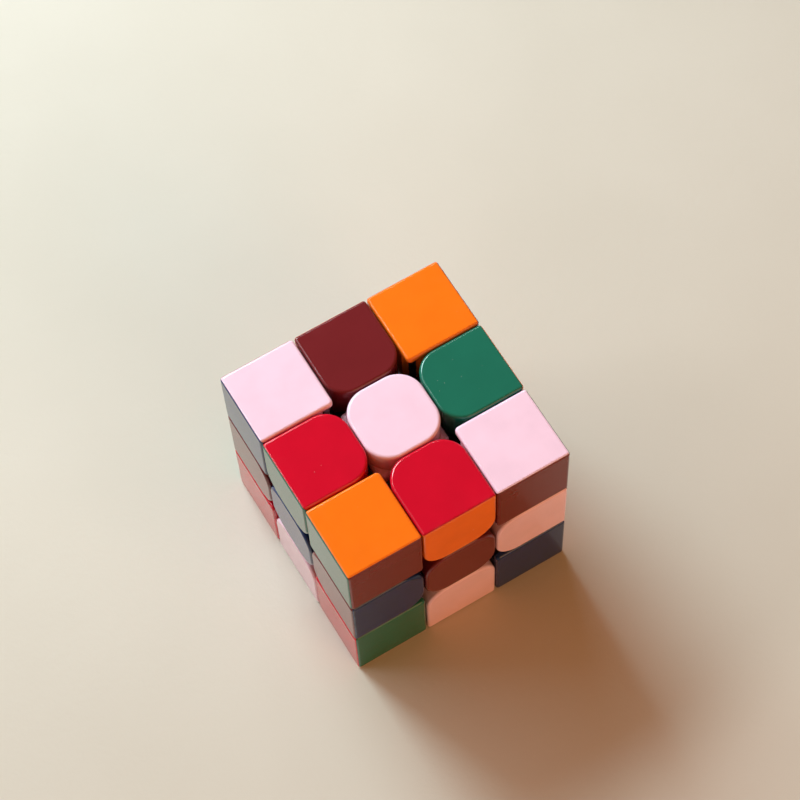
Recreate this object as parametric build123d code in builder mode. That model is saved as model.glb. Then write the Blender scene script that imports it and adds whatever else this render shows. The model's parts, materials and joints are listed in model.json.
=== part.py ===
"""Twisty puzzle cube with three layers a side, in its own frame: millimetres, +Z up, origin at its centre.

Every cut between pieces is a plane square to an axis or a ball about the centre, so each layer can turn.
Outside the head ball the pieces part at the tile cuts. Between the foot ball and the head ball they part at
the foot planes, and inside the foot ball at the inner planes, so that feet reach under their neighbours.
"""
import os

from build123d import *

# The cube and its gaps
SIZE = 56.0
GAP = 0.3
SEAM = 0.04
WALL = 1.4

# Rounding of the tiles, seen square on, and of their rims
RIM_ROUND = 0.8
CORNER_TILE_ROUND = 1.1
EDGE_TILE_ROUND = 6.0
CENTRE_TILE_ROUND = 6.3

# Skirt of the centre cap, squarer than its tile, and the hollow under a corner tile's inner lip
SKIRT_TOP = 21.8
SKIRT_ROUND = 1.6
SKIRT_SLOPE = 1.3
HOLLOW_RADIUS = 3.0

# Balls and planes that part the heads and the feet
HEAD_BALL = 22.0
FOOT_BALL = 17.5
INNER_BALL = 9.8
FOOT_PLANE = 6.5
INNER_PLANE = 5.5
PLUG_BALL = 24.0
POCKET_RADIUS = 3.2
POCKET_START = 14.0

# Centre piece: stalk round the spring, with a floor that the spring presses on
STALK_RADIUS = 5.2
STALK_END = 10.8
WELL_FLOOR = 13.0
WELL_RADIUS = 3.6
BORE_RADIUS = 1.5
BASE_TOP = 24.5

# Core, screw, washer and spring
HUB_RADIUS = 8.0
POST_RADIUS = 3.6
POST_END = 10.5
SHANK_RADIUS = 1.4
SHANK_START = 4.0
HEAD_RADIUS = 3.0
HEAD_SEAT = 20.2
HEAD_HEIGHT = 2.0
HEAD_ROUND = 0.5
RECESS = (3.4, 0.8, 1.2)
WASHER_RADIUS = 3.2
WASHER_BORE = 1.45
WASHER_THICKNESS = 0.6
WIRE_RADIUS = 0.3
COIL_RADIUS = 2.6
COIL_TURNS = 5

# Worked out from the above
HALF = SIZE / 2
CUT = SIZE / 6
CLEAR = GAP / 2
HEAD_LOW = CUT + CLEAR
MID_WIDTH = 2 * (CUT - CLEAR)
CORNER = (Align.MIN, Align.MIN, Align.MIN)
ORIGIN = (0, 0, 0)

# Each face's plane through the centre, with its outward direction as local Z
FACES = {
    "top": Plane(ORIGIN, x_dir=(1, 0, 0), z_dir=(0, 0, 1)),
    "bottom": Plane(ORIGIN, x_dir=(1, 0, 0), z_dir=(0, 0, -1)),
    "front": Plane(ORIGIN, x_dir=(1, 0, 0), z_dir=(0, -1, 0)),
    "back": Plane(ORIGIN, x_dir=(1, 0, 0), z_dir=(0, 1, 0)),
    "left": Plane(ORIGIN, x_dir=(0, 1, 0), z_dir=(-1, 0, 0)),
    "right": Plane(ORIGIN, x_dir=(0, 1, 0), z_dir=(1, 0, 0)),
}
SIDES = [FACES[name] for name in ("front", "back", "left", "right")]
QUARTERS = (0, 90, 180, 270)


def write(piece, name):
    """Labels a finished piece and writes it as its own file."""
    piece.part.label = name
    export_step(piece.part, f"parts/{name}.step")


def write_at(template, name, place):
    """Writes a copy of a piece, moved to its place."""
    with BuildPart() as piece:
        with Locations(place):
            add(template.part)
    write(piece, name)


def turned(quarter, tilt=(0, 0, 0)):
    """A place reached by tilting about the centre and then turning about the Z axis."""
    return Location(ORIGIN, (0, 0, quarter)) * Location(ORIGIN, tilt)


def between_balls(inner, outer, half_width, low):
    """The part of a ball shell over |x| < half_width where y and z are above low, for an edge piece."""
    with BuildPart() as zone:
        with Locations((0, low, low)):
            Box(2 * half_width, HALF, HALF, align=(Align.CENTER, Align.MIN, Align.MIN))
        Sphere(outer, mode=Mode.INTERSECT)
        Sphere(inner, mode=Mode.SUBTRACT)
    return zone.part


def corner_zone(inner, outer, low):
    """The part of a ball shell where x, y and z are all above low, for a corner piece."""
    with BuildPart() as zone:
        with Locations((low, low, low)):
            Box(HALF, HALF, HALF, align=CORNER)
        Sphere(outer, mode=Mode.INTERSECT)
        Sphere(inner, mode=Mode.SUBTRACT)
    return zone.part


def corner_block(inset):
    """Corner head as a plain block, drawn in by inset from its outside faces."""
    side = HALF - HEAD_LOW - 2 * inset
    with BuildPart() as block:
        with Locations((HEAD_LOW + inset,) * 3):
            Box(side, side, side, align=CORNER)
    return block.part


def corner_rods(radius):
    """Round bars along the corner head's three inner edges, which stop under its tiles."""
    along_z = Plane((HEAD_LOW, HEAD_LOW, 0), z_dir=(0, 0, 1))
    along_y = Plane((HEAD_LOW, 0, HEAD_LOW), z_dir=(0, 1, 0))
    along_x = Plane((0, HEAD_LOW, HEAD_LOW), z_dir=(1, 0, 0))
    with BuildPart() as rods:
        with Locations(along_z, along_y, along_x):
            Cylinder(radius, HALF - WALL, align=(Align.CENTER, Align.CENTER, Align.MIN))
    return rods.part


def edge_tile(inset):
    """D-shaped tile outline, square on its outer side and rounded towards the centre piece."""
    with BuildSketch() as tile:
        with Locations((0, HALF - inset)):
            Rectangle(
                MID_WIDTH - 2 * inset,
                HALF - HEAD_LOW - 2 * inset,
                align=(Align.CENTER, Align.MAX),
            )
        fillet(tile.vertices().group_by(Axis.Y)[0], EDGE_TILE_ROUND - inset)
    return tile.sketch


def edge_block(inset):
    """Edge head: what two such outlines share, one drawn on the top and one on the back."""
    tile = edge_tile(inset)
    with BuildPart() as block:
        with BuildSketch(Plane.XY.offset(HEAD_LOW + inset)):
            add(tile)
        extrude(amount=HALF - HEAD_LOW - 2 * inset)
        with BuildSketch(Plane.XZ.offset(inset - HALF)):
            add(tile)
        extrude(amount=HALF - HEAD_LOW - 2 * inset, mode=Mode.INTERSECT)
    return block.part


def centre_tile(inset):
    """Outline of the centre tile, a square with large corners."""
    width = MID_WIDTH - 2 * inset
    with BuildSketch() as tile:
        RectangleRounded(width, width, CENTRE_TILE_ROUND - inset)
    return tile.sketch


def centre_cap():
    """Coloured cap of a centre piece, a hollow cup over its base, with a squarer skirt below its tile."""
    with BuildPart() as skirt:
        with BuildSketch(Plane.XY.offset(SKIRT_TOP)):
            RectangleRounded(MID_WIDTH, MID_WIDTH, SKIRT_ROUND)
        extrude(amount=HEAD_LOW - SKIRT_TOP)
        fillet(skirt.faces().sort_by(Axis.Z)[-1].edges(), SKIRT_SLOPE)
    with BuildPart() as cap:
        with BuildSketch(Plane.XY.offset(HALF)):
            add(centre_tile(0))
        extrude(amount=HEAD_LOW - HALF)
        fillet(cap.faces().sort_by(Axis.Z)[-1].edges(), RIM_ROUND)
        add(skirt.part)
        with BuildSketch(Plane.XY.offset(HALF - WALL)):
            add(centre_tile(WALL))
        extrude(amount=HEAD_LOW - HALF, mode=Mode.SUBTRACT)
        Sphere(HEAD_BALL + CLEAR, mode=Mode.SUBTRACT)
    return cap


def centre_base():
    """Black base of a centre piece: a plug in the cap, and a stalk with the spring's well."""
    with BuildPart() as base:
        with BuildSketch(Plane.XY.offset(BASE_TOP)):
            add(centre_tile(WALL))
        extrude(amount=HEAD_LOW - BASE_TOP)
        Sphere(HEAD_BALL + CLEAR, mode=Mode.SUBTRACT)
        with Locations((0, 0, STALK_END)):
            Cylinder(STALK_RADIUS, BASE_TOP - STALK_END, align=(Align.CENTER, Align.CENTER, Align.MIN))
        with Locations((0, 0, BASE_TOP)):
            CounterBoreHole(BORE_RADIUS, WELL_RADIUS, BASE_TOP - WELL_FLOOR)
    return base


def edge_shells():
    """The two coloured shells of an edge piece at the top back, hollow inside their walls."""
    cavity = edge_block(WALL)
    parting = Plane(ORIGIN, z_dir=(0, -1, 1))
    with BuildPart() as shell:
        add(edge_block(0))
        rims = shell.edges().group_by(Axis.Z)[-1] + shell.edges().group_by(Axis.Y)[-1]
        fillet(list(set(rims)), RIM_ROUND)
        add(cavity, mode=Mode.SUBTRACT)
        Sphere(HEAD_BALL + CLEAR, mode=Mode.SUBTRACT)
        split(bisect_by=parting.offset(SEAM / 2), keep=Keep.TOP)
    with BuildPart() as shells:
        add(shell.part)
        mirror(about=parting)
    return shells


def edge_body():
    """Black body of an edge piece: plug in the head, foot under the centres, and an inner foot."""
    cavity = edge_block(WALL)
    foot_width = FOOT_PLANE - CLEAR
    inner_width = INNER_PLANE - CLEAR
    foot = between_balls(FOOT_BALL + CLEAR, HEAD_BALL - CLEAR, foot_width, FOOT_PLANE + CLEAR)
    inner = between_balls(INNER_BALL + CLEAR, FOOT_BALL - CLEAR, inner_width, INNER_PLANE + CLEAR)
    column = between_balls(INNER_BALL + CLEAR, HEAD_BALL - CLEAR, inner_width, FOOT_PLANE + CLEAR)
    neck = between_balls(FOOT_BALL + CLEAR, HEAD_BALL + CLEAR, foot_width, HEAD_LOW + WALL)
    with BuildPart() as plug:
        add(cavity)
        Sphere(PLUG_BALL, mode=Mode.INTERSECT)
        Sphere(HEAD_BALL + CLEAR, mode=Mode.SUBTRACT)
    with BuildPart() as body:
        add(foot)
        add(inner)
        add(column)
        add(neck)
        add(plug.part)
        with Locations(Plane(ORIGIN, z_dir=(0, 1, 1)).offset(POCKET_START)):
            Cylinder(
                POCKET_RADIUS,
                PLUG_BALL,
                align=(Align.CENTER, Align.CENTER, Align.MIN),
                mode=Mode.SUBTRACT,
            )
    return body


def corner_shells():
    """The three coloured shells of the corner piece at +X +Y +Z, each with a lip over the hollow beside it."""
    cavity = corner_block(WALL)
    with BuildPart() as shell:
        add(corner_block(0))
        inner = shell.edges().sort_by_distance(ORIGIN)[:3]
        fillet(inner, CORNER_TILE_ROUND)
        rims = shell.edges().filter_by(GeomType.LINE)
        fillet(rims, RIM_ROUND)
        add(cavity, mode=Mode.SUBTRACT)
        add(corner_rods(HOLLOW_RADIUS), mode=Mode.SUBTRACT)
        Sphere(HEAD_BALL + CLEAR, mode=Mode.SUBTRACT)
        split(bisect_by=Plane(ORIGIN, z_dir=(-1, 0, 1)).offset(SEAM / 2), keep=Keep.TOP)
        split(bisect_by=Plane(ORIGIN, z_dir=(0, -1, 1)).offset(SEAM / 2), keep=Keep.TOP)
    diagonal = Axis(ORIGIN, (1, 1, 1))
    with BuildPart() as shells:
        for third in (0, 120, 240):
            add(shell.part.rotate(diagonal, third))
    return shells


def corner_body():
    """Black body of the corner piece at +X +Y +Z: a foot under the edges, a plug and posts in the head."""
    foot = corner_zone(FOOT_BALL + CLEAR, HEAD_BALL - CLEAR, FOOT_PLANE + CLEAR)
    plug = corner_zone(FOOT_BALL + CLEAR, PLUG_BALL, HEAD_LOW + WALL)
    with BuildPart() as posts:
        add(corner_block(WALL))
        add(corner_rods(HOLLOW_RADIUS + WALL), mode=Mode.INTERSECT)
        add(corner_rods(HOLLOW_RADIUS), mode=Mode.SUBTRACT)
        Sphere(HEAD_BALL + CLEAR, mode=Mode.SUBTRACT)
    with BuildPart() as body:
        add(foot)
        add(plug)
        add(posts.part)
    return body


def core():
    """Hub with six posts, each holding one self-tapping screw."""
    with BuildPart() as hub:
        Sphere(HUB_RADIUS)
        with Locations(*FACES.values()):
            Cylinder(POST_RADIUS, POST_END, align=(Align.CENTER, Align.CENTER, Align.MIN))
        with Locations(*[face.offset(SHANK_START) for face in FACES.values()]):
            Cylinder(
                SHANK_RADIUS,
                POST_END,
                align=(Align.CENTER, Align.CENTER, Align.MIN),
                mode=Mode.SUBTRACT,
            )
    return hub


def screw():
    """Centre screw along +Z, with a rounded head and a cross recess."""
    length, width, depth = RECESS
    with BuildPart() as body:
        with Locations((0, 0, SHANK_START)):
            Cylinder(SHANK_RADIUS, HEAD_SEAT - SHANK_START, align=(Align.CENTER, Align.CENTER, Align.MIN))
        with Locations((0, 0, HEAD_SEAT)):
            Cylinder(HEAD_RADIUS, HEAD_HEIGHT, align=(Align.CENTER, Align.CENTER, Align.MIN))
        fillet(body.faces().sort_by(Axis.Z)[-1].edges(), HEAD_ROUND)
        with Locations((0, 0, HEAD_SEAT + HEAD_HEIGHT)):
            Box(length, width, 2 * depth, mode=Mode.SUBTRACT)
            Box(width, length, 2 * depth, mode=Mode.SUBTRACT)
    return body


def washer():
    """Steel washer that spreads the screw head over the spring."""
    with BuildPart() as ring:
        with BuildSketch(Plane.XY.offset(HEAD_SEAT)):
            Circle(WASHER_RADIUS)
            Circle(WASHER_BORE, mode=Mode.SUBTRACT)
        extrude(amount=-WASHER_THICKNESS)
    return ring


def spring():
    """Compression spring between the well's floor and the washer."""
    height = HEAD_SEAT - WASHER_THICKNESS - WELL_FLOOR - 2 * WIRE_RADIUS
    start = WELL_FLOOR + WIRE_RADIUS
    with BuildPart() as coil:
        with BuildLine() as path:
            Helix(height / COIL_TURNS, height, COIL_RADIUS, center=(0, 0, start))
        with BuildSketch(Plane(path.line @ 0, z_dir=path.line % 0)):
            Circle(WIRE_RADIUS)
        sweep(path=path.line, is_frenet=True)
    return coil


def grouped(template, places):
    """Copies of a piece at several places, as separate solids of one part."""
    with BuildPart() as group:
        with Locations(*places):
            add(template.part)
    return group


os.makedirs("parts", exist_ok=True)

write(core(), "core")
write(grouped(screw(), FACES.values()), "centre_screws")
write(grouped(washer(), FACES.values()), "screw_washers")

coil_spring = spring()
write_at(coil_spring, "top_spring", FACES["top"])
write_at(coil_spring, "bottom_spring", FACES["bottom"])
write(grouped(coil_spring, SIDES), "side_springs")

cap = centre_cap()
base = centre_base()
for face, plane in FACES.items():
    write_at(cap, f"{face}_centre_cap", plane)
    write_at(base, f"{face}_centre_base", plane)

# Edge pieces: the one made lies at the top back, and the others are reached by turning it
edge_places = {}
for side, quarter in zip(("back", "left", "front", "right"), QUARTERS):
    edge_places[f"top_{side}"] = turned(quarter)
for side, quarter in zip(("front", "right", "back", "left"), QUARTERS):
    edge_places[f"bottom_{side}"] = turned(quarter, tilt=(180, 0, 0))
for side, quarter in zip(("back_right", "back_left", "front_left", "front_right"), QUARTERS):
    edge_places[side] = turned(quarter, tilt=(0, 90, 0))

two_shells = edge_shells()
edge_core = edge_body()
for name, place in edge_places.items():
    write_at(two_shells, f"{name}_edge_shells", place)
    write_at(edge_core, f"{name}_edge_body", place)

# Corner pieces: the one made lies at the top back right
corner_places = {}
for side, quarter in zip(("back_right", "back_left", "front_left", "front_right"), QUARTERS):
    corner_places[f"top_{side}"] = turned(quarter)
for side, quarter in zip(("front_right", "back_right", "back_left", "front_left"), QUARTERS):
    corner_places[f"bottom_{side}"] = turned(quarter, tilt=(180, 0, 0))

three_shells = corner_shells()
corner_core = corner_body()
for name, place in corner_places.items():
    write_at(three_shells, f"{name}_corner_shells", place)
    write_at(corner_core, f"{name}_corner_body", place)
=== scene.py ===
"""Looks of the twisty puzzle cube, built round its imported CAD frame. Metres, +Z up, front face towards -Y.

Every coloured moulding is a piece of its own: six centre caps, two shells to an edge piece and three to a
corner piece. Each kind is modelled once, and its copies are turned to their places about the cube's centre.
"""
import json
import math

import bmesh
import bpy
from mathutils import Matrix, Vector


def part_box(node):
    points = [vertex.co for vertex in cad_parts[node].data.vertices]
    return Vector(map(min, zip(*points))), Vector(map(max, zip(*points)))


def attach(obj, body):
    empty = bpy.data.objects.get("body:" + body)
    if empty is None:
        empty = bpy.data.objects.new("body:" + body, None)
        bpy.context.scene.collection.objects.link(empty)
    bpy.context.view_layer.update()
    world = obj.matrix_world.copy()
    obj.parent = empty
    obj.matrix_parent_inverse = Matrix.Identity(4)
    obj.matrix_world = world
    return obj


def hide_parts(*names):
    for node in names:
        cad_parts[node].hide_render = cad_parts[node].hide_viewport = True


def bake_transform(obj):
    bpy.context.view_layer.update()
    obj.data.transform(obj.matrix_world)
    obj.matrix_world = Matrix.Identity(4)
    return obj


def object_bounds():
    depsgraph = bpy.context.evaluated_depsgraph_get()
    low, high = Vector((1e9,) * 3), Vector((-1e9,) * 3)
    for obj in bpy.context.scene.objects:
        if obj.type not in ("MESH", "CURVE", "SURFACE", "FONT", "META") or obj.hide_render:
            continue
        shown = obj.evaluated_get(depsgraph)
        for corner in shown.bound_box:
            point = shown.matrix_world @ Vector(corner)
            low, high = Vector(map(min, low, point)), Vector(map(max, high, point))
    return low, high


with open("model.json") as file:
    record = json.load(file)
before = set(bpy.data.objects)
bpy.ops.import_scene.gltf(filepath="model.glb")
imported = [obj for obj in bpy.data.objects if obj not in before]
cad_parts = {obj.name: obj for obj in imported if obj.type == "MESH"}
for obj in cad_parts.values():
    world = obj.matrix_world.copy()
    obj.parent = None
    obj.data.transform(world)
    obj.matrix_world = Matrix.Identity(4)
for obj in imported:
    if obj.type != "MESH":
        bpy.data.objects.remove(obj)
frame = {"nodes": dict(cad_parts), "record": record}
cad_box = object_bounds()

MM = 0.001
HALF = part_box("top_centre_cap")[1].z
TILE_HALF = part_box("top_centre_cap")[1].x
HEAD_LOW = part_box("top_back_right_corner_shells")[0].x
HEAD_BALL = 22.15 * MM
WALL = 1.4 * MM
SEAM = 0.04 * MM

RIM_ROUND = 0.75 * MM
CORNER_TILE_ROUND = 1.1 * MM
EDGE_TILE_ROUND = 6.0 * MM
CENTRE_TILE_ROUND = 6.3 * MM
SKIRT_TOP = 21.75 * MM
SKIRT_ROUND = 1.6 * MM
SKIRT_SLOPE = 1.3 * MM
HOLLOW_RADIUS = 3.0 * MM
RIM_STEPS = 6
ARC_STEPS = 16
ROD_STEPS = 48

SPRING_LOW = 13.02 * MM
SPRING_HIGH = 19.58 * MM
COIL_RADIUS = 2.6 * MM
WIRE_RADIUS = 0.3 * MM
COIL_TURNS = 5
COIL_STEPS = 32
WIRE_STEPS = 12
BALL_STEPS = 128
NEAR = 0.001 * MM
SHARP_ANGLE = math.radians(38)

OUTWARD = {
    "top": Vector((0, 0, 1)),
    "bottom": Vector((0, 0, -1)),
    "front": Vector((0, -1, 0)),
    "back": Vector((0, 1, 0)),
    "left": Vector((-1, 0, 0)),
    "right": Vector((1, 0, 0)),
}

# The colours of a scrambled cube. A piece's name says its faces, and its colours follow in the same order.
CENTRES = {
    "top": ("pink",),
    "bottom": ("orange",),
    "front": ("maroon",),
    "back": ("red",),
    "left": ("navy",),
    "right": ("green",),
}
EDGES = {
    "top_front": ("red", "orange"),
    "top_left": ("red", "green"),
    "top_back": ("maroon", "orange"),
    "top_right": ("green", "orange"),
    "front_left": ("navy", "maroon"),
    "front_right": ("pink", "maroon"),
    "back_left": ("green", "maroon"),
    "back_right": ("pink", "red"),
    "bottom_front": ("green", "pink"),
    "bottom_left": ("navy", "pink"),
    "bottom_back": ("navy", "orange"),
    "bottom_right": ("red", "navy"),
}
CORNERS = {
    "top_front_left": ("orange", "maroon", "green"),
    "top_front_right": ("pink", "maroon", "green"),
    "top_back_left": ("pink", "red", "navy"),
    "top_back_right": ("orange", "red", "navy"),
    "bottom_front_left": ("pink", "green", "red"),
    "bottom_front_right": ("maroon", "navy", "pink"),
    "bottom_back_left": ("orange", "green", "red"),
    "bottom_back_right": ("maroon", "navy", "orange"),
}

# ---------------------------------------------------------------- materials

RIPPLE_DEPTH = 0.004 * MM
SCRATCH_DEPTH = 0.002 * MM
GRAIN_DEPTH = 0.006 * MM
TOOL_MARK_DEPTH = 0.003 * MM
WEAVE_DEPTH = 0.05 * MM

PLASTIC = {
    "pink": (0.95, 0.62, 0.74),
    "orange": (0.97, 0.178, 0.008),
    "red": (0.62, 0.003, 0.022),
    "green": (0.010, 0.145, 0.090),
    "maroon": (0.165, 0.014, 0.018),
    "navy": (0.007, 0.028, 0.125),
}


def new_material(name):
    """A node material with its node tree and its shader."""
    material = bpy.data.materials.new(name)
    material.use_nodes = True
    return material, material.node_tree, material.node_tree.nodes["Principled BSDF"]


def object_coords(tree):
    return tree.nodes.new("ShaderNodeTexCoord").outputs["Object"]


def stretched(tree, coords, scale, turn=(0, 0, 0)):
    mapping = tree.nodes.new("ShaderNodeMapping")
    mapping.inputs["Scale"].default_value = scale
    mapping.inputs["Rotation"].default_value = turn
    tree.links.new(coords, mapping.inputs["Vector"])
    return mapping.outputs["Vector"]


def noise(tree, coords, scale, detail=3.0, roughness=0.5):
    texture = tree.nodes.new("ShaderNodeTexNoise")
    texture.inputs["Scale"].default_value = scale
    texture.inputs["Detail"].default_value = detail
    texture.inputs["Roughness"].default_value = roughness
    tree.links.new(coords, texture.inputs["Vector"])
    return texture.outputs["Fac"]


def specks(tree, coords, scale):
    """Distance from scattered points, for dust."""
    texture = tree.nodes.new("ShaderNodeTexVoronoi")
    texture.inputs["Scale"].default_value = scale
    tree.links.new(coords, texture.inputs["Vector"])
    return texture.outputs["Distance"]


def spread(tree, value, low, high, to_low=0.0, to_high=1.0):
    """Maps low to high onto to_low to to_high, held at both ends."""
    mapped = tree.nodes.new("ShaderNodeMapRange")
    for socket, number in zip(("From Min", "From Max", "To Min", "To Max"), (low, high, to_low, to_high)):
        mapped.inputs[socket].default_value = number
    tree.links.new(value, mapped.inputs["Value"])
    return mapped.outputs["Result"]


def combine(tree, operation, first, second):
    """Maths on two values, each a socket or a number."""
    maths = tree.nodes.new("ShaderNodeMath")
    maths.operation = operation
    for socket, value in zip(maths.inputs, (first, second)):
        if isinstance(value, (int, float)):
            socket.default_value = value
        else:
            tree.links.new(value, socket)
    return maths.outputs["Value"]


def blend_colour(tree, factor, first, second):
    """Mixes two colours by a factor socket; each colour is a socket or three numbers."""
    mix = tree.nodes.new("ShaderNodeMix")
    mix.data_type = "RGBA"
    tree.links.new(factor, mix.inputs[0])
    for socket, colour in zip((mix.inputs[6], mix.inputs[7]), (first, second)):
        if isinstance(colour, tuple):
            socket.default_value = (*colour, 1)
        else:
            tree.links.new(colour, socket)
    return mix.outputs[2]


def bump(tree, height, depth, normal=None):
    """A bump of the given depth in metres."""
    relief = tree.nodes.new("ShaderNodeBump")
    relief.inputs["Strength"].default_value = 1.0
    relief.inputs["Distance"].default_value = depth
    tree.links.new(height, relief.inputs["Height"])
    if normal is not None:
        tree.links.new(normal, relief.inputs["Normal"])
    return relief.outputs["Normal"]


def rim_wear(tree):
    """High along the outward curves of a piece."""
    geometry = tree.nodes.new("ShaderNodeNewGeometry")
    return spread(tree, geometry.outputs["Pointiness"], 0.52, 0.62)


def shade(colour, factor):
    return tuple(min(1.0, channel * factor) for channel in colour)


def toward_white(colour, share):
    return tuple(channel + (1 - channel) * share for channel in colour)


def shell_plastic(name, colour):
    """Glossy moulded plastic, with faint mottling, hairline scratches, handled rims and a little dust."""
    material, tree, shader = new_material(name)
    coords = object_coords(tree)
    mottle = spread(tree, noise(tree, coords, 160, 4), 0.3, 0.7)
    handled = spread(tree, noise(tree, coords, 55, 3), 0.35, 0.65)
    scratch_a = noise(tree, stretched(tree, coords, (1, 22, 22), (0.3, 0.2, 0.7)), 260, 2)
    scratch_b = noise(tree, stretched(tree, coords, (22, 1, 22), (0.1, 0.6, 0.3)), 240, 2)
    scratches = spread(tree, combine(tree, "MAXIMUM", scratch_a, scratch_b), 0.66, 0.80)
    dust = spread(tree, specks(tree, coords, 620), 0.05, 0.035)
    dust = combine(tree, "MULTIPLY", dust, spread(tree, noise(tree, coords, 90, 2), 0.55, 0.62))
    wear = combine(tree, "MULTIPLY", rim_wear(tree), spread(tree, noise(tree, coords, 420, 4), 0.42, 0.7))

    body = blend_colour(tree, mottle, shade(colour, 0.96), shade(colour, 1.03))
    rubbed = blend_colour(tree, combine(tree, "MULTIPLY", wear, 0.35), body, toward_white(colour, 0.25))
    dusty = blend_colour(tree, combine(tree, "MULTIPLY", dust, 0.55), rubbed, (0.75, 0.72, 0.68))
    tree.links.new(dusty, shader.inputs["Base Color"])

    roughness = spread(tree, handled, 0, 1, 0.07, 0.12)
    for mark, added in ((scratches, 0.10), (wear, 0.12), (dust, 0.3)):
        roughness = combine(tree, "ADD", roughness, combine(tree, "MULTIPLY", mark, added))
    tree.links.new(roughness, shader.inputs["Roughness"])
    ripple = bump(tree, noise(tree, coords, 300, 2), RIPPLE_DEPTH)
    tree.links.new(bump(tree, scratches, -SCRATCH_DEPTH, ripple), shader.inputs["Normal"])
    shader.inputs["IOR"].default_value = 1.5
    shader.inputs["Specular IOR Level"].default_value = 0.42
    return material


def inner_plastic(name):
    """Black satin plastic of the feet, bases and core, with polished patches where pieces rub."""
    material, tree, shader = new_material(name)
    coords = object_coords(tree)
    grain = noise(tree, coords, 1400, 3)
    rubbed = spread(tree, noise(tree, coords, 210, 3), 0.45, 0.62)
    colour = blend_colour(tree, rubbed, (0.016, 0.016, 0.018), (0.030, 0.029, 0.028))
    tree.links.new(colour, shader.inputs["Base Color"])
    tree.links.new(spread(tree, rubbed, 0, 1, 0.48, 0.3), shader.inputs["Roughness"])
    tree.links.new(bump(tree, grain, GRAIN_DEPTH), shader.inputs["Normal"])
    return material


def turned_steel(name, colour, scale, low, high):
    """Bright steel with fine drawn or turned marks."""
    material, tree, shader = new_material(name)
    coords = object_coords(tree)
    marks = noise(tree, stretched(tree, coords, scale), 900, 3)
    stain = spread(tree, noise(tree, coords, 300, 3), 0.4, 0.7)
    tree.links.new(blend_colour(tree, stain, colour, shade(colour, 0.82)), shader.inputs["Base Color"])
    tree.links.new(spread(tree, marks, 0.3, 0.7, low, high), shader.inputs["Roughness"])
    tree.links.new(bump(tree, marks, TOOL_MARK_DEPTH), shader.inputs["Normal"])
    shader.inputs["Metallic"].default_value = 1.0
    return material


def pale_cloth(name):
    """Plain pale floor with a faint weave."""
    material, tree, shader = new_material(name)
    coords = object_coords(tree)
    cloud = spread(tree, noise(tree, coords, 9, 4), 0.35, 0.65)
    base = blend_colour(tree, cloud, (0.62, 0.55, 0.46), (0.66, 0.59, 0.50))
    tree.links.new(base, shader.inputs["Base Color"])
    tree.links.new(bump(tree, noise(tree, coords, 700, 3), WEAVE_DEPTH), shader.inputs["Normal"])
    shader.inputs["Roughness"].default_value = 0.9
    return material


SHELL_MATERIALS = {}
for plastic, tint in PLASTIC.items():
    SHELL_MATERIALS[plastic] = shell_plastic(f"{plastic}_plastic", tint)
BLACK = inner_plastic("black_plastic")
SCREW_STEEL = turned_steel("zinc_plated_screw", (0.62, 0.63, 0.62), (1, 1, 1), 0.22, 0.34)
WASHER_STEEL = turned_steel("plain_washer_steel", (0.66, 0.66, 0.65), (1, 1, 1), 0.28, 0.42)
SPRING_STEEL = turned_steel("drawn_spring_wire", (0.55, 0.55, 0.56), (1, 1, 6), 0.2, 0.32)

# ---------------------------------------------------------------- mouldings


def block(low, high):
    """A box between two corners."""
    bm = bmesh.new()
    bmesh.ops.create_cube(bm, size=1)
    low, high = Vector(low), Vector(high)
    bmesh.ops.scale(bm, vec=high - low, verts=bm.verts)
    bmesh.ops.translate(bm, vec=(high + low) / 2, verts=bm.verts)
    return bm


def edges_where(bm, test):
    """The edges whose two ends both pass the test."""
    return [edge for edge in bm.edges if all(test(vert.co) for vert in edge.verts)]


def round_edges(bm, edges, radius, steps):
    bmesh.ops.bevel(
        bm,
        geom=edges,
        offset=radius,
        offset_type="OFFSET",
        segments=steps,
        profile=0.5,
        affect="EDGES",
        material=-1,
        clamp_overlap=False,
    )


def at(value, place):
    return abs(value - place) < NEAR


def corner_block(inset, rounded):
    """Head of the corner piece at +X +Y +Z, drawn in by inset from its outside."""
    low, high = HEAD_LOW + inset, HALF - inset
    bm = block((low,) * 3, (high,) * 3)
    if rounded:
        inner = edges_where(bm, lambda co: sum(at(c, low) for c in co) >= 2)
        round_edges(bm, inner, CORNER_TILE_ROUND, RIM_STEPS)
        rims = [e for e in bm.edges if any(all(at(v.co[axis], high) for v in e.verts) for axis in range(3))]
        round_edges(bm, rims, RIM_ROUND, RIM_STEPS)
    return bm


def edge_block(inset, rounded):
    """Head of the edge piece at the top back, its tiles square outwards and rounded towards the centres."""
    low, high, side = HEAD_LOW + inset, HALF - inset, TILE_HALF - inset
    bm = block((-side, low, low), (side, high, high))
    inner = [
        edge
        for edge in bm.edges
        if at(*(vert.co.x for vert in edge.verts))
        and any(all(at(vert.co[axis], low) for vert in edge.verts) for axis in (1, 2))
    ]
    round_edges(bm, inner, EDGE_TILE_ROUND - inset, ARC_STEPS)
    if rounded:
        rims = [e for e in bm.edges if any(all(at(v.co[axis], high) for v in e.verts) for axis in (1, 2))]
        round_edges(bm, rims, RIM_ROUND, RIM_STEPS)
    return bm


def centre_block(inset, rounded):
    """Cap of the top centre piece, a square with large round corners."""
    side, high = TILE_HALF - inset, HALF - inset
    bm = block((-side, -side, HEAD_LOW), (side, side, high))
    upright = edges_where(bm, lambda co: at(abs(co.x), side) and at(abs(co.y), side))
    upright = [e for e in upright if not at(e.verts[0].co.z, e.verts[1].co.z)]
    round_edges(bm, upright, CENTRE_TILE_ROUND - inset, ARC_STEPS)
    if rounded:
        round_edges(bm, edges_where(bm, lambda co: at(co.z, high)), RIM_ROUND, RIM_STEPS)
    return bm


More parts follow.
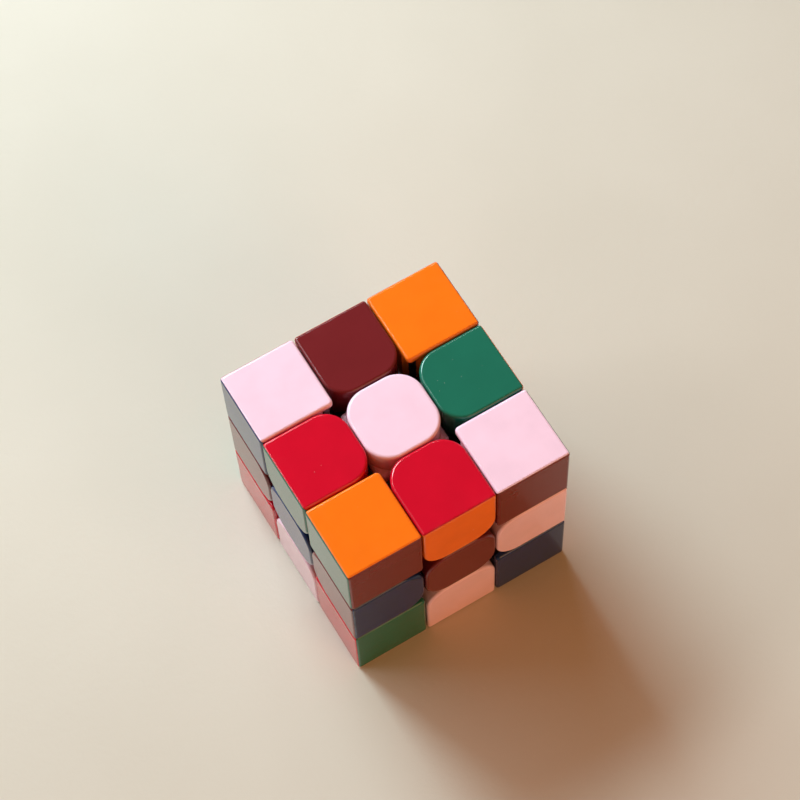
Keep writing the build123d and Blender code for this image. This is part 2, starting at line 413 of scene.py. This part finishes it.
def centre_skirt():
    """Squarer skirt of a centre cap, whose sloping top stands a few millimetres below the tile."""
    bm = block((-TILE_HALF, -TILE_HALF, HEAD_LOW), (TILE_HALF, TILE_HALF, SKIRT_TOP))
    upright = edges_where(bm, lambda co: at(abs(co.x), TILE_HALF) and at(abs(co.y), TILE_HALF))
    upright = [edge for edge in upright if not at(*(vert.co.z for vert in edge.verts))]
    round_edges(bm, upright, SKIRT_ROUND, RIM_STEPS)
    round_edges(bm, edges_where(bm, lambda co: at(co.z, SKIRT_TOP)), SKIRT_SLOPE, RIM_STEPS)
    return bm


def corner_hollow():
    """Round hollow down a corner head's inner edge, which starts under the tile and leaves its lip."""
    bm = bmesh.new()
    length = HALF - WALL
    bmesh.ops.create_cone(
        bm,
        cap_ends=True,
        segments=ROD_STEPS,
        radius1=HOLLOW_RADIUS,
        radius2=HOLLOW_RADIUS,
        depth=length,
    )
    bmesh.ops.translate(bm, vec=(HEAD_LOW, HEAD_LOW, length / 2), verts=bm.verts)
    return bm


def ball(radius):
    bm = bmesh.new()
    bmesh.ops.create_uvsphere(bm, u_segments=BALL_STEPS, v_segments=BALL_STEPS // 2, radius=radius)
    return bm


def as_object(bm, name):
    """Turns a bmesh into an object, and frees the bmesh."""
    mesh = bpy.data.meshes.new(name)
    bm.to_mesh(mesh)
    bm.free()
    obj = bpy.data.objects.new(name, mesh)
    bpy.context.scene.collection.objects.link(obj)
    return obj


def carved(solid, added, cutters):
    """The bmesh left when solids are joined to a solid and cutters are then taken out of it."""
    body = as_object(solid, "carving")
    tools = []
    for operation, solids in (("UNION", added), ("DIFFERENCE", cutters)):
        for other in solids:
            tools.append(as_object(other, "carving_tool"))
            cut = body.modifiers.new(operation.lower(), "BOOLEAN")
            cut.operation = operation
            cut.solver = "EXACT"
            cut.object = tools[-1]
    bpy.context.view_layer.update()
    mesh = bpy.data.meshes.new_from_object(body.evaluated_get(bpy.context.evaluated_depsgraph_get()))
    for obj in (body, *tools):
        bpy.data.meshes.remove(obj.data)
    bm = bmesh.new()
    bm.from_mesh(mesh)
    bpy.data.meshes.remove(mesh)
    return bm


def keep_side(bm, normal):
    """Cuts a solid along a plane near the centre, keeps the side the normal points to and closes it."""
    normal = Vector(normal).normalized()
    cut = bmesh.ops.bisect_plane(
        bm,
        geom=[*bm.verts, *bm.edges, *bm.faces],
        dist=NEAR / 10,
        plane_co=normal * SEAM / 2,
        plane_no=normal,
        clear_inner=True,
    )
    outline = [item for item in cut["geom_cut"] if isinstance(item, bmesh.types.BMEdge)]
    bmesh.ops.holes_fill(bm, edges=outline, sides=0)


def shell(make_block, partings=(), added=(), hollows=()):
    """A hollow moulding: its block, less the cavity and the ball under the heads, parted from others."""
    bm = carved(make_block(0, True), added, [make_block(WALL, False), ball(HEAD_BALL), *hollows])
    for normal in partings:
        keep_side(bm, normal)
    bmesh.ops.remove_doubles(bm, verts=bm.verts, dist=NEAR / 2)
    bmesh.ops.recalc_face_normals(bm, faces=bm.faces)
    return bm


def turned_to(across, along, outward):
    """Rotation that takes +X, +Y and +Z to the three given directions."""
    return Matrix((across, along, outward)).transposed().to_4x4()


def place_shell(pattern, turn, name, colour, node, body):
    """Puts a copy of a moulding in its place and joins it to its CAD body."""
    mesh = pattern.copy()
    mesh.name = name
    mesh.transform(turn)
    obj = bpy.data.objects.new(name, mesh)
    bpy.context.scene.collection.objects.link(obj)
    finish_shading(obj)
    mesh.materials.clear()
    mesh.materials.append(SHELL_MATERIALS[colour])
    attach(obj, body)
    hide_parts(node)
    return obj


def finish_shading(obj):
    """Smooth rounded rims beside truly flat faces."""
    obj.data.shade_smooth()
    obj.data.set_sharp_from_angle(angle=SHARP_ANGLE)
    normals = obj.modifiers.new("face_weighted_normals", "WEIGHTED_NORMAL")
    normals.keep_sharp = True
    normals.weight = 100


def pattern_mesh(bm, name):
    mesh = bpy.data.meshes.new(name)
    bm.to_mesh(mesh)
    bm.free()
    return mesh


BODY_OF = {node: body for body, nodes in frame["record"]["behaviour"]["bodies"].items() for node in nodes}

centre_pattern = pattern_mesh(shell(centre_block, added=[centre_skirt()]), "centre_cap_pattern")
edge_pattern = pattern_mesh(shell(edge_block, partings=[(0, -1, 1)]), "edge_shell_pattern")
corner_pattern = pattern_mesh(
    shell(corner_block, partings=[(-1, 0, 1), (0, -1, 1)], hollows=[corner_hollow()]),
    "corner_shell_pattern",
)

for face, (colour,) in CENTRES.items():
    outward = OUTWARD[face]
    across = OUTWARD["back"] if face in ("left", "right") else OUTWARD["right"]
    node = f"{face}_centre_cap"
    turn = turned_to(across, outward.cross(across), outward)
    place_shell(centre_pattern, turn, f"{face}_centre_{colour}_cap", colour, node, BODY_OF[node])

for piece, colours in EDGES.items():
    faces = piece.split("_")
    node = f"{piece}_edge_shells"
    for face, other, colour in zip(faces, reversed(faces), colours):
        outward, along = OUTWARD[face], OUTWARD[other]
        turn = turned_to(along.cross(outward), along, outward)
        place_shell(edge_pattern, turn, f"{piece}_edge_{colour}_{face}_shell", colour, node, BODY_OF[node])

for piece, colours in CORNERS.items():
    faces = piece.split("_")
    node = f"{piece}_corner_shells"
    for face, colour in zip(faces, colours):
        outward = OUTWARD[face]
        across, along = (OUTWARD[other] for other in faces if other != face)
        if across.cross(along).dot(outward) < 0:
            across, along = along, across
        turn = turned_to(across, along, outward)
        name = f"{piece}_corner_{colour}_{face}_shell"
        place_shell(corner_pattern, turn, name, colour, node, BODY_OF[node])

for pattern in (centre_pattern, edge_pattern, corner_pattern):
    bpy.data.meshes.remove(pattern)

# ---------------------------------------------------------------- centre springs


def coil_spring():
    """Compression spring along +Z, wound from a round wire, with closed ends."""
    bm = bmesh.new()
    rise = (SPRING_HIGH - SPRING_LOW - 2 * WIRE_RADIUS) / (COIL_TURNS * COIL_STEPS)
    wire = bmesh.ops.create_circle(bm, cap_ends=True, segments=WIRE_STEPS, radius=WIRE_RADIUS)
    bmesh.ops.rotate(bm, cent=(0, 0, 0), matrix=Matrix.Rotation(math.pi / 2, 3, "X"), verts=wire["verts"])
    bmesh.ops.translate(bm, vec=(COIL_RADIUS, 0, SPRING_LOW + WIRE_RADIUS), verts=wire["verts"])
    bmesh.ops.spin(
        bm,
        geom=[*bm.verts, *bm.edges, *bm.faces],
        cent=(0, 0, 0),
        axis=(0, 0, 1),
        dvec=(0, 0, rise),
        angle=2 * math.pi * COIL_TURNS,
        steps=COIL_TURNS * COIL_STEPS,
    )
    bmesh.ops.recalc_face_normals(bm, faces=bm.faces)
    return bm


spring_pattern = pattern_mesh(coil_spring(), "spring_pattern")
for face, outward in OUTWARD.items():
    across = OUTWARD["back"] if face in ("left", "right") else OUTWARD["right"]
    wound = spring_pattern.copy()
    wound.transform(turned_to(across, outward.cross(across), outward))
    wound.materials.append(SPRING_STEEL)
    wound.shade_smooth()
    piece = bpy.data.objects.new(f"{face}_centre_spring", wound)
    bpy.context.scene.collection.objects.link(piece)
    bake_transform(piece)
    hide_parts(f"{face}_spring" if face in ("top", "bottom") else "side_springs")
bpy.data.meshes.remove(spring_pattern)

# ---------------------------------------------------------------- carried-over inner parts


def dress(node, material):
    obj = frame["nodes"][node]
    for material_slot in obj.material_slots:
        material_slot.material = material


for node in frame["nodes"]:
    if node.endswith(("_body", "_base")) or node == "core":
        dress(node, BLACK)
dress("centre_screws", SCREW_STEEL)
dress("screw_washers", WASHER_STEEL)

# ---------------------------------------------------------------- floor, lights and camera

FLOOR_SIZE = 3.0
ORIGIN = (0, 0, 0)


def pale_floor():
    bm = bmesh.new()
    bmesh.ops.create_grid(bm, x_segments=8, y_segments=8, size=FLOOR_SIZE / 2)
    bmesh.ops.translate(bm, vec=(0, 0, cad_box[0][2]), verts=bm.verts)
    floor = as_object(bm, "floor")
    floor.data.materials.append(pale_cloth("pale_floor"))


def aim(obj, place, target, roll=0.0):
    """Stands a light or the camera at a place, looking at a target."""
    place, target = Vector(place), Vector(target)
    turn = (target - place).to_track_quat("-Z", "Y").to_matrix().to_4x4()
    obj.matrix_world = Matrix.Translation(place) @ turn @ Matrix.Rotation(roll, 4, "Z")


def soft_light(name, place, size, power, colour, height=None):
    """A round light aimed at the cube's centre, or a long strip where a height is given."""
    light = bpy.data.lights.new(name, "AREA")
    light.shape = "DISK" if height is None else "RECTANGLE"
    light.size = size
    if height is not None:
        light.size_y = height
    light.energy = power
    light.color = colour
    obj = bpy.data.objects.new(name, light)
    bpy.context.scene.collection.objects.link(obj)
    aim(obj, place, ORIGIN)


def seen_from(azimuth, elevation, distance, target):
    """A place at a distance from the target; azimuth 0 is in front of the cube."""
    azimuth, elevation = math.radians(azimuth), math.radians(elevation)
    level = math.cos(elevation)
    direction = Vector((math.sin(azimuth) * level, -math.cos(azimuth) * level, math.sin(elevation)))
    return Vector(target) + direction * distance


pale_floor()
soft_light("window_key", seen_from(-172, 40, 0.8, ORIGIN), 0.4, 7.8, (0.64, 0.88, 0.96))
window_strip = seen_from(-160, 45, 0.8, ORIGIN)
soft_light("window_strip", window_strip, 1.1, 3.4, (0.92, 0.96, 1.0), height=0.05)
soft_light("left_sky", seen_from(-115, 35, 0.9, ORIGIN), 0.5, 0.6, (0.8, 0.95, 1.0))
soft_light("warm_front_fill", seen_from(10, 20, 0.8, ORIGIN), 0.6, 2.6, (1.0, 0.50, 0.22))

world = bpy.data.worlds.new("pale_room")
bpy.context.scene.world = world
world.use_nodes = True
world.node_tree.nodes["Background"].inputs["Color"].default_value = (1.0, 0.44, 0.16, 1)
world.node_tree.nodes["Background"].inputs["Strength"].default_value = 0.22

CAMERA_AZIMUTH = -27.5
CAMERA_ELEVATION = 64.4
CAMERA_DISTANCE = 0.5817
CAMERA_TARGET = (0.0093, 0.0143, 0.0)
CAMERA_ROLL = math.radians(-3.8)
CAMERA_LENS = 113.4
CAMERA_SENSOR = 36
CAMERA_CLIP = 0.01

camera_data = bpy.data.cameras.new("camera")
camera_data.sensor_width = CAMERA_SENSOR
camera_data.lens = CAMERA_LENS
camera_data.clip_start = CAMERA_CLIP
camera = bpy.data.objects.new("camera", camera_data)
bpy.context.scene.collection.objects.link(camera)
camera_place = seen_from(CAMERA_AZIMUTH, CAMERA_ELEVATION, CAMERA_DISTANCE, CAMERA_TARGET)
aim(camera, camera_place, CAMERA_TARGET, CAMERA_ROLL)
bpy.context.scene.camera = camera
bpy.context.scene.view_settings.view_transform = "Standard"
